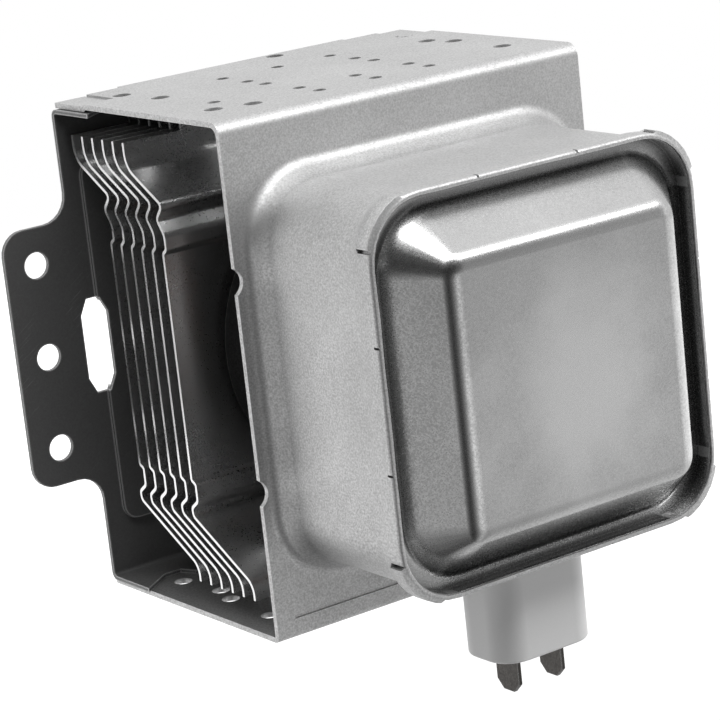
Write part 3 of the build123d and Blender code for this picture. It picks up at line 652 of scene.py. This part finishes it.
def shapeRearEdge(size):
    # the top plate's rear edge is set back at both sides, and its corner tabs are pressed down
    topZ = size["height"] / 2
    ramp = size["tabRamp"]

    def isTop(at, face):
        return face.normal.z > 0.99 and at.z > topZ - 0.1

    for side in (-1, 1):
        for place in (size["lipHalf"], size["tabX"]):
            choose("FACE", isTop)
            cutAlong(0, side * place)
    for place in (size["tabSetback"], size["shoulder"], size["tabLength"] - ramp, size["tabLength"]):
        choose("FACE", isTop)
        cutAlong(1, -place)
    choose("FACE", lambda at, face: isTop(at, face) and (
        (size["lipHalf"] < abs(at.x) < size["tabX"] and at.y > -size["shoulder"]) or
        (abs(at.x) > size["tabX"] and at.y > -size["tabSetback"])))
    bpy.ops.mesh.delete(type="FACE")
    choose("EDGE", lambda at, edge: abs(abs(at.x) - size["tabX"]) < touch and at.y > -size["tabLength"] and
           at.z > topZ - 0.1)
    bpy.ops.mesh.edge_split(type="EDGE")
    choose("FACE", lambda at, face: isTop(at, face) and abs(at.x) > size["tabX"] and
           at.y > ramp - size["tabLength"])
    moveBy(z=-size["tabDrop"])


def cutYokeHoles(piece, size):
    # vent holes above and below, notches in the front edges, the groove under the case and the rim's nicks
    over, into = 1, 2    # how far the cutters stand out of the sheet and reach into it
    halfWidth = size["width"] / 2
    halfHeight = size["height"] / 2
    frontY = -size["depth"]
    cutter = startEmpty("yokeHoles")
    addHoles(size["smallPlaces"], size["smallHole"], halfHeight - into, halfHeight + over)
    addHoles(size["largePlaces"], size["largeHole"], halfHeight - into, halfHeight + over)
    for side in (-1, 1):
        places = [(side * x, y) for x, y in size["bottomPlaces"]]
        addHoles(places, size["largeHole"], -halfHeight - over, -halfHeight + into)
        notches = [(side * size["notchX"], size["notchZ"]), (side * size["notchX"], -size["notchZ"])]
        addHoles(notches, size["notchRadius"], frontY - over, frontY + into, axis="Y")

    grooveZ = size["grooveUp"] - halfHeight
    half = size["grooveWidth"] / 2
    reach = halfWidth - size["grooveGap"]
    floorY = frontY + size["grooveDepth"]
    addBlocks([((-reach, frontY - over, grooveZ - half), (reach, floorY, grooveZ + half))])

    crestY = frontY - size["caseDepth"]
    endY = crestY + size["nickLength"]
    outX = size["caseWidth"] / 2 + size["rimStep"]
    outZ = size["caseHeight"] / 2 + size["rimStep"]
    half = size["nickWidth"] / 2
    for side in (-1, 1):
        for place in size["nickTop"]:
            low, high = sorted((side * (outZ - size["nickDepth"]), side * (outZ + over)))
            addBlocks([((place - half, crestY - over, low), (place + half, endY, high))])
        for place in size["nickSide"]:
            low, high = sorted((side * (outX - size["nickDepth"]), side * (outX + over)))
            addBlocks([((low, crestY - over, place - half), (high, endY, place + half))])
    cutAway(piece, cutter)


def cutBlockOpening(piece, size):
    # the capacitor block passes through the floor of the case
    opening = startEmpty("blockOpening")
    middle = (0, -size["blockPlace"], size["blockLow"])
    bpy.ops.mesh.primitive_plane_add(size=1, location=[m * mm for m in middle])
    stretchBy(size["blockWidth"] * mm, size["blockDepth"] * mm, 1, about=middle)
    bpy.ops.mesh.bevel(offset=size["blockCorner"] * mm, segments=6, affect="VERTICES")
    extrudeBy(z=size["blockRise"])
    turnOutwards()
    cutAway(piece, opening)


def makeYokeCase(size):
    halfWidth = size["width"] / 2
    halfHeight = size["height"] / 2
    frontY = -size["depth"]
    piece = startCube("yokeCase", (-halfWidth, frontY, -halfHeight), (halfWidth, 0, halfHeight))
    choose("FACE", lambda at, face: abs(face.normal.x) > 0.9 or face.normal.y > 0.9)
    bpy.ops.mesh.delete(type="FACE")
    for level, bend in ((halfHeight, size["topBend"]), (-halfHeight, size["bottomBend"])):
        choose("EDGE", lambda at, edge: abs(at.y - frontY) < touch and abs(at.z - level) < touch)
        bpy.ops.mesh.bevel(offset=bend * mm, segments=5, affect="EDGES")
    pressCase(size)
    slitCorners(size)
    shapeRearEdge(size)
    bpy.ops.object.mode_set(mode="OBJECT")
    useModifier(piece, "SOLIDIFY", thickness=size["sheet"] * mm, offset=-1.0, use_even_offset=True)
    cutYokeHoles(piece, size)
    cutBlockOpening(piece, size)
    softenEdges(piece, size["edge"])
    putInPlace(piece, "zincSteel", "case_steel", "yoke_filter_case")


makeYokeCase(yokeSizes)


# lid of the filter case

lidSizes = {
    "width": 69.5, "height": 69.1, "corner": 10.5, "place": 85.7, "sheet": 0.5,
    "baseWidth": 65.4, "baseHeight": 65.0, "baseCorner": 11.0, "foot": 0.9,
    "slopeRun": 8.4, "rise": 10.3, "rootRadius": 1.7, "ridgeRadius": 4.1, "ridgeRun": 2.2, "skirt": 3.0,
}


def makeFilterLid(size):
    piece = startEmpty("filterLid")
    foot = size["foot"]
    baseY = -size["place"]
    roundedPlate(size["width"], size["height"], size["corner"], baseY, steps=10)
    bpy.ops.mesh.delete(type="ONLY_FACE")
    setInFace(size["baseWidth"] + 2 * foot, size["baseHeight"] + 2 * foot, size["baseCorner"] + foot, baseY)
    ridge = foot + size["slopeRun"]
    pressAlong(roundedLine([(0, 0), (foot, 0), (ridge, size["rise"]), (ridge + size["ridgeRun"], size["rise"])],
                           [size["rootRadius"], size["ridgeRadius"]], steps=6))
    # the margin is turned forward inside the rim of the case
    choose("EDGE", lambda at, edge: edge.is_boundary)
    extrudeBy(y=-size["skirt"])
    bpy.ops.object.mode_set(mode="OBJECT")
    useModifier(piece, "SOLIDIFY", thickness=size["sheet"] * mm, offset=-1.0, use_even_offset=True)
    softenEdges(piece, 0, angle=50.0)
    putInPlace(piece, "lidSteel", "case_steel", "filter_lid")


makeFilterLid(lidSizes)


# mounting plate with its two ears

plateSizes = {
    "width": 81.5, "low": -46.0, "high": 45.5, "sheet": 0.8, "bend": 1.5,
    "earSpan": 110.2, "earHeight": 49.4, "earCorner": 4.5, "earRoot": 5.0,
    "holeX": 48.5, "holeZ": 17.6, "holeRadius": 2.5, "bore": 10.5,
    "slotX": 37.85, "slotHalf": 2.7, "slotTip": 1.2, "slotEnd": 9.1, "slotShoulder": 3.0,
    "padWidth": 74.0, "padHeight": 70.0, "padCorner": 3.0, "padRise": 0.8,
    "cornerX": 34.0, "neckX": 30.5, "tongueX": 29.0, "lipX": 26.0, "lipRise": 0.5,
    "flange": 8.2, "cornerReach": 4.8, "tongueReach": 3.1, "edge": 0.1,
}


def outlinePlate(size):
    # a flat face with two ears, its concave and convex corners rounded
    half = size["width"] / 2
    earHalf = size["earHeight"] / 2
    tall = size["high"] - size["low"]
    middle = (size["high"] + size["low"]) / 2
    bpy.ops.mesh.primitive_plane_add(size=1, location=(0, 0, middle * mm), rotation=(math.radians(-90), 0, 0))
    stretchBy(size["width"] * mm, 1, tall * mm, about=(0, 0, middle))
    cutAlong(2, -earHalf)
    choose("FACE", lambda at, face: True)
    cutAlong(2, earHalf)
    for side in (-1, 1):
        choose("EDGE", lambda at, edge: abs(at.x - side * half) < touch and abs(at.z) < 1)
        extrudeBy(x=side * (size["earSpan"] / 2 - half))
    bpy.ops.mesh.select_all(action="SELECT")
    bpy.ops.mesh.dissolve_limited(angle_limit=math.radians(1))
    choose("VERT", lambda at, corner: abs(abs(at.x) - half) < touch and abs(abs(at.z) - earHalf) < touch)
    bpy.ops.mesh.bevel(offset=size["earRoot"] * mm, segments=6, affect="VERTICES")
    choose("VERT", lambda at, corner: abs(at.x) > size["earSpan"] / 2 - touch)
    bpy.ops.mesh.bevel(offset=size["earCorner"] * mm, segments=6, affect="VERTICES")


def turnFlanges(size):
    # narrow flanges turned forward at the bottom and at the top corners, and a lip under the top plate
    half = size["width"] / 2
    low = size["low"]
    high = size["high"]
    for place in (size["tongueX"], size["neckX"], size["cornerX"], size["lipX"]):
        for side in (-1, 1):
            choose("FACE", lambda at, face: True)
            cutAlong(0, side * place)
    choose("EDGE", lambda at, edge: abs(at.z - low) < touch)
    extrudeBy(y=-size["flange"])
    choose("EDGE", lambda at, edge: abs(at.z - high) < touch and abs(at.x) > size["cornerX"])
    extrudeBy(y=-size["flange"])
    choose("VERT", lambda at, corner: at.y < -1 and abs(at.x) > half - touch)
    moveBy(y=-size["cornerReach"])
    choose("VERT", lambda at, corner: at.y < -1 and at.z < 0 and abs(at.x) < size["tongueX"] + touch)
    moveBy(y=-size["tongueReach"])
    choose("EDGE", lambda at, edge: abs(at.z - high) < touch and abs(at.y) < touch and abs(at.x) < size["lipX"])
    extrudeBy(z=size["lipRise"])
    choose("EDGE", lambda at, edge: abs(at.y) < touch and (abs(at.z - low) < touch or
           (abs(at.z - high) < touch and abs(at.x) > size["cornerX"])))
    bpy.ops.mesh.bevel(offset=size["bend"] * mm, segments=4, affect="EDGES")


def makeMountingPlate(size):
    piece = startEmpty("mountingPlate")
    outlinePlate(size)
    turnFlanges(size)
    bpy.ops.object.mode_set(mode="OBJECT")
    useModifier(piece, "SOLIDIFY", thickness=size["sheet"] * mm, offset=-1.0, use_even_offset=True)

    sheet = size["sheet"]
    pad = startEmpty("padBlock")
    roundedPlate(size["padWidth"], size["padHeight"], size["padCorner"], -sheet / 2, steps=5)
    extrudeBy(y=-sheet / 2 - size["padRise"])
    cutAway(piece, pad, operation="UNION")
    hollow = startEmpty("padHollow")
    roundedPlate(size["padWidth"] - 2 * sheet, size["padHeight"] - 2 * sheet, size["padCorner"] - sheet, sheet,
                 steps=5)
    extrudeBy(y=-sheet - size["padRise"])
    cutAway(piece, hollow)

    cutter = startEmpty("plateHoles")
    near, rear = -3, 1    # the cutters run from before the pad to behind the plate
    places = [(side * size["holeX"], row * size["holeZ"]) for side in (-1, 1) for row in (-1, 0, 1)]
    addHoles(places, size["holeRadius"], near, rear, axis="Y", vertices=40)
    addHoles([(0, 0)], size["bore"], near, rear, axis="Y", vertices=64)
    flank = size["slotEnd"] - size["slotShoulder"]
    for side in (-1, 1):
        middle = side * size["slotX"]
        addBlocks([((middle - size["slotHalf"], near, -flank), (middle + size["slotHalf"], rear, flank))])
        for end in (-1, 1):
            choose("FACE", lambda at, face: face.normal.z * end > 0.9 and abs(at.x - middle) < touch and
                   abs(at.z - end * flank) < touch)
            extrudeBy(z=end * size["slotShoulder"])
            stretchBy(size["slotTip"] / size["slotHalf"], 1, 1, about=(middle, 0, 0))
    cutAway(piece, cutter)
    softenEdges(piece, size["edge"])
    putInPlace(piece, "flangeSteel", "flange_steel", "mounting_plate")


makeMountingPlate(plateSizes)


# cooling fins: one is bent and cut, the others are copies

finSizes = {    # each bend is (shift along Y, height, radius)
    "count": 6, "pitch": 3.56, "firstY": -11.8, "sheet": 0.6, "width": 77.0, "top": 46.0,
    "bends": [(9.2, 36.0, 4.0), (-1.5, 29.9, 1.0), (0.8, 27.2, 1.0), (-1.1, 24.4, 2.0), (-1.1, 21.8, 0.6),
              (0.0, 20.9, 0.6), (0.0, -21.5, 0.5), (-1.2, -22.1, 0.5), (-1.2, -25.4, 1.0), (1.0, -27.0, 0.9),
              (0.8, -28.6, 1.2), (-16.6, -38.2, 3.0)],
    "tabX": 26.0, "shoulderTop": 40.4, "shoulderBottom": -41.2, "bore": 19.53,
}


def bendFin(size):
    # a strip runs down from bend to bend, and each bend is then rounded
    firstY, firstZ = size["bends"][0][:2]
    middleY = size["firstY"]
    middleZ = (size["top"] + firstZ) / 2
    bpy.ops.mesh.primitive_plane_add(size=1, location=(0, (middleY + firstY) * mm, middleZ * mm),
                                     rotation=(math.radians(90), 0, 0))
    stretchBy(size["width"] * mm, 1, (size["top"] - firstZ) * mm, about=(0, middleY + firstY, middleZ))
    choose("EDGE", lambda at, edge: at.z < firstZ + touch)
    corners = [(y, z) for y, z, radius in size["bends"]] + [(size["bends"][-1][0], -size["top"])]
    for (y, z), (nextY, nextZ) in zip(corners, corners[1:]):
        extrudeBy(y=nextY - y, z=nextZ - z)
    for before, (y, z, radius), after in zip([(firstY, size["top"])] + corners, size["bends"], corners[1:]):
        into = Vector((y - before[0], z - before[1]))
        out = Vector((after[0] - y, after[1] - z))
        reach = radius * math.tan(into.angle(out) / 2)
        choose("EDGE", lambda at, edge: abs(at.y - middleY - y) < touch and abs(at.z - z) < touch)
        bpy.ops.mesh.bevel(offset=reach * mm, segments=4, affect="EDGES", clamp_overlap=True)


def makeFins(size):
    piece = startEmpty("coolingFin1")
    bendFin(size)
    bpy.ops.object.mode_set(mode="OBJECT")
    useModifier(piece, "SOLIDIFY", thickness=size["sheet"] * mm, offset=0.0, use_even_offset=True)
    cutter = startEmpty("finCutter")
    middle = size["firstY"]
    addHoles([(0, 0)], size["bore"], middle - 1, middle + 1, axis="Y", vertices=96)
    near, rear, far = -50, 10, 60    # well past the fin on every side
    for side in (-1, 1):
        low, high = sorted((side * size["tabX"], side * size["width"]))
        addBlocks([((low, near, size["shoulderTop"]), (high, rear, far)),
                   ((low, near, -far), (high, rear, size["shoulderBottom"]))])
    cutAway(piece, cutter)
    softenEdges(piece, 0)
    fins = [piece]
    for index in range(1, size["count"]):
        makeActive(piece)
        bpy.ops.object.duplicate()
        fin = bpy.context.object
        fin.name = fin.data.name = f"coolingFin{index + 1}"
        moveBy(y=-index * size["pitch"])
        bpy.ops.object.transform_apply(location=True)
        fins.append(fin)
    for index, fin in enumerate(fins):
        putInPlace(fin, "finAluminium", "fin_aluminium", f"cooling_fin_{index + 1}")


makeFins(finSizes)


# feed-through capacitor: block and two blades

blockSizes = {
    "place": 75.0, "width": 21.5, "depth": 14.5, "corner": 5.2, "low": -54.2, "high": -27.8, "edge": 0.5,
}
bladeSizes = {
    "x": 5.0, "y": -75.0, "sheet": 0.8, "width": 6.3, "low": -61.6, "high": -22.8, "point": 1.7, "edge": 0.12,
}


def makeBlock(size):
    piece = startEmpty("capacitorBlock")
    middle = (0, -size["place"], size["low"])
    bpy.ops.mesh.primitive_plane_add(size=1, location=[m * mm for m in middle])
    stretchBy(size["width"] * mm, size["depth"] * mm, 1, about=middle)
    bpy.ops.mesh.bevel(offset=size["corner"] * mm, segments=8, affect="VERTICES")
    extrudeBy(z=size["high"] - size["low"])
    turnOutwards()
    choose("EDGE", lambda at, edge: at.z < size["low"] + touch)
    bpy.ops.mesh.bevel(offset=size["edge"] * mm, segments=3, affect="EDGES")
    bpy.ops.object.mode_set(mode="OBJECT")
    softenEdges(piece, 0, angle=50.0)
    putInPlace(piece, "blockResin", "capacitor_resin", "capacitor_body")


def makeBlades(size):
    halfSheet = size["sheet"] / 2
    halfWidth = size["width"] / 2
    left = -size["x"]
    piece = startCube("terminalBladeLeft", (left - halfSheet, size["y"] - halfWidth, size["low"]),
                      (left + halfSheet, size["y"] + halfWidth, size["high"]))
    choose("EDGE", lambda at, edge: at.z < size["low"] + touch and abs(at.x - left) < touch)
    bpy.ops.mesh.bevel(offset=size["point"] * mm, segments=1, affect="EDGES")
    bpy.ops.object.mode_set(mode="OBJECT")
    softenEdges(piece, size["edge"])
    bpy.ops.object.duplicate()
    copy = bpy.context.object
    copy.name = copy.data.name = "terminalBladeRight"
    moveBy(x=2 * size["x"])
    bpy.ops.object.transform_apply(location=True)
    putInPlace(piece, "tabBrass", "terminal_metal", "terminal_blade_left")
    putInPlace(copy, "tabBrass", "terminal_metal", "terminal_blade_right")


makeBlock(blockSizes)
makeBlades(bladeSizes)


# knitted wire gasket round the output can

gasketSizes = {
    "middleRadius": 13.4, "halfWidth": 2.9, "low": -0.7, "high": 2.9, "wire": 0.22, "around": 110, "across": 12,
}


def makeGasket(size):
    piece = startEmpty("wireGasket")
    middleY = (size["low"] + size["high"]) / 2
    bpy.ops.mesh.primitive_torus_add(
        major_radius=size["middleRadius"] * mm, minor_radius=size["halfWidth"] * mm,
        major_segments=size["around"], minor_segments=size["across"],
        location=(0, middleY * mm, 0), rotation=(math.radians(90), 0, 0))
    stretchBy(1, (size["high"] - size["low"]) / 2 / size["halfWidth"], 1, about=(0, middleY, 0))
    bpy.ops.mesh.quads_convert_to_tris(quad_method="FIXED_ALTERNATE")
    bpy.ops.object.mode_set(mode="OBJECT")
    useModifier(piece, "WIREFRAME", thickness=size["wire"] * mm, use_even_offset=False)
    makeActive(piece)
    bpy.ops.object.shade_smooth()
    putInPlace(piece, "wireSteel", "gasket_wire", "rf_gasket")


makeGasket(gasketSizes)


# floor, light and camera

# metres and watts; sky and floor give the level by direction, from straight away from the dark side of
# the room (0) to straight at it (1)
studio = {
    "floorDrop": 0.45, "floorSize": 8.0, "floorNear": 0.5, "floorReach": (0.3, 1.7),
    "floorEnd": (1.9, 2.8), "floorBeyond": 0.45,
    "darkSide": (-0.55, -0.80, 0.25),
    "sky": [(0.0, 0.93), (0.2, 0.93), (0.36, 1.0), (0.5, 1.22), (0.56, 0.9), (0.66, 0.3), (0.8, 0.1),
            (1.0, 0.02)],
    "floor": [(0.0, 1.55), (0.35, 1.55), (0.55, 1.3), (0.64, 0.67), (0.7, 0.62), (0.8, 1.1), (0.88, 1.55),
              (0.95, 0.55), (1.0, 0.03)],
    "topPlace": (0.0, -0.47, 0.8), "topTarget": (0, -0.045, 0), "topTurn": -20.0,
    "topSize": (1.5, 0.28), "topPower": 10.0,
}


def aimAt(item, target):
    direction = Vector(target) - item.location
    item.rotation_euler = direction.to_track_quat("-Z", "Y").to_euler()


def facingRamp(tree, direction, towards, levels):
    # level by how far a direction turns towards one side of the room, from straight away to straight at it
    facing = addNode(tree, "ShaderNodeVectorMath", operation="DOT_PRODUCT")
    facing.inputs[1].default_value = Vector(towards).normalized()
    tree.links.new(direction, facing.inputs[0])
    ramp = addNode(tree, "ShaderNodeValToRGB")
    stops = ramp.color_ramp.elements
    while len(stops) < len(levels):
        stops.new(0.5)
    for stop, (position, value) in zip(stops, levels):
        stop.position = position
        stop.color = grey(value)
    tree.links.new(mathNode(tree, "MULTIPLY_ADD", facing.outputs["Value"], 0.5, 0.5), ramp.inputs["Fac"])
    return ramp.outputs["Color"]


def makeFloor(setting):
    # white to the camera; for reflections it glows, its level changing with the distance and the side of the
    # room: painted shade near the object and a painted shadow on the dark side
    bpy.ops.object.select_all(action="DESELECT")
    bpy.ops.mesh.primitive_plane_add(size=setting["floorSize"], location=(0, 0, -setting["floorDrop"]))
    floor = bpy.context.object
    floor.name = "paleFloor"
    material = bpy.data.materials.new("paleFloor")
    material.use_nodes = True
    tree = material.node_tree
    place = addNode(tree, "ShaderNodeTexCoord")
    away = addNode(tree, "ShaderNodeVectorMath", operation="LENGTH")
    tree.links.new(place.outputs["Object"], away.inputs[0])
    # painted shade: the floor's glow is darker near the object
    near, far = setting["floorReach"]
    tone = rampNode(tree, away.outputs["Value"], near, far, setting["floorNear"], 1.0)
    near, far = setting["floorEnd"]
    fading = rampNode(tree, away.outputs["Value"], near, far, 1.0, setting["floorBeyond"])
    tone = mathNode(tree, "MULTIPLY", tone, fading)
    bearing = addNode(tree, "ShaderNodeVectorMath", operation="NORMALIZE")
    tree.links.new(place.outputs["Object"], bearing.inputs[0])
    # painted shadow: the glow darkens towards the camera's side of the room
    darkX, darkY = setting["darkSide"][:2]
    side = facingRamp(tree, bearing.outputs["Vector"], (darkX, darkY, 0), setting["floor"])
    tone = mathNode(tree, "MULTIPLY", tone, side)
    path = addNode(tree, "ShaderNodeLightPath")
    glow = addNode(tree, "ShaderNodeEmission", Color=(1, 1, 1, 1))
    tree.links.new(mathNode(tree, "MAXIMUM", tone, path.outputs["Is Camera Ray"]), glow.inputs["Strength"])
    tree.links.new(glow.outputs["Emission"], tree.nodes["Material Output"].inputs["Surface"])
    floor.data.materials.append(material)


def makeSky(setting):
    world = bpy.data.worlds.new("studioWorld")
    bpy.context.scene.world = world
    world.use_nodes = True
    tree = world.node_tree
    sky = tree.nodes["Background"]
    place = addNode(tree, "ShaderNodeTexCoord")
    level = facingRamp(tree, place.outputs["Generated"], setting["darkSide"], setting["sky"])
    path = addNode(tree, "ShaderNodeLightPath")
    level = mathNode(tree, "MAXIMUM", level, path.outputs["Is Camera Ray"])
    tree.links.new(level, sky.inputs["Strength"])
    sky.inputs["Color"].default_value = (1, 1, 1, 1)


def makeSoftbox(setting):
    # a strip lamp over the front, for the bright lines on the lid's upper ridge and corner
    lamp = bpy.data.lights.new("topSoftbox", "AREA")
    lamp.shape = "RECTANGLE"
    lamp.size, lamp.size_y = setting["topSize"]
    lamp.energy = setting["topPower"]
    softbox = bpy.data.objects.new("topSoftbox", lamp)
    bpy.context.scene.collection.objects.link(softbox)
    softbox.location = setting["topPlace"]
    aimAt(softbox, setting["topTarget"])
    softbox.rotation_euler.rotate_axis("Z", math.radians(setting["topTurn"]))


# metres, degrees and, for the lens, millimetres, fitted to the straight edges of the yoke and the case
view = {
    "place": (-0.30882, -0.47765, 0.13058),
    "azimuth": 34.71, "elevation": 14.29, "roll": -6.27, "lens": 149.16, "sensor": 36.0,
}


def makeCamera(setting):
    lens = bpy.data.cameras.new("photoCamera")
    lens.lens = setting["lens"]
    lens.sensor_width = setting["sensor"]
    lens.clip_start = 0.01
    lens.clip_end = 20.0
    camera = bpy.data.objects.new("photoCamera", lens)
    bpy.context.scene.collection.objects.link(camera)
    turn = Matrix.Rotation(math.radians(-setting["azimuth"]), 4, "Z")
    turn = turn @ Matrix.Rotation(math.radians(90 - setting["elevation"]), 4, "X")
    turn = turn @ Matrix.Rotation(math.radians(setting["roll"]), 4, "Z")
    camera.matrix_world = Matrix.Translation(setting["place"]) @ turn
    bpy.context.scene.camera = camera


makeFloor(studio)
makeSky(studio)
makeSoftbox(studio)
makeCamera(view)
bpy.context.scene.view_settings.view_transform = "Standard"
print("studio and camera set")
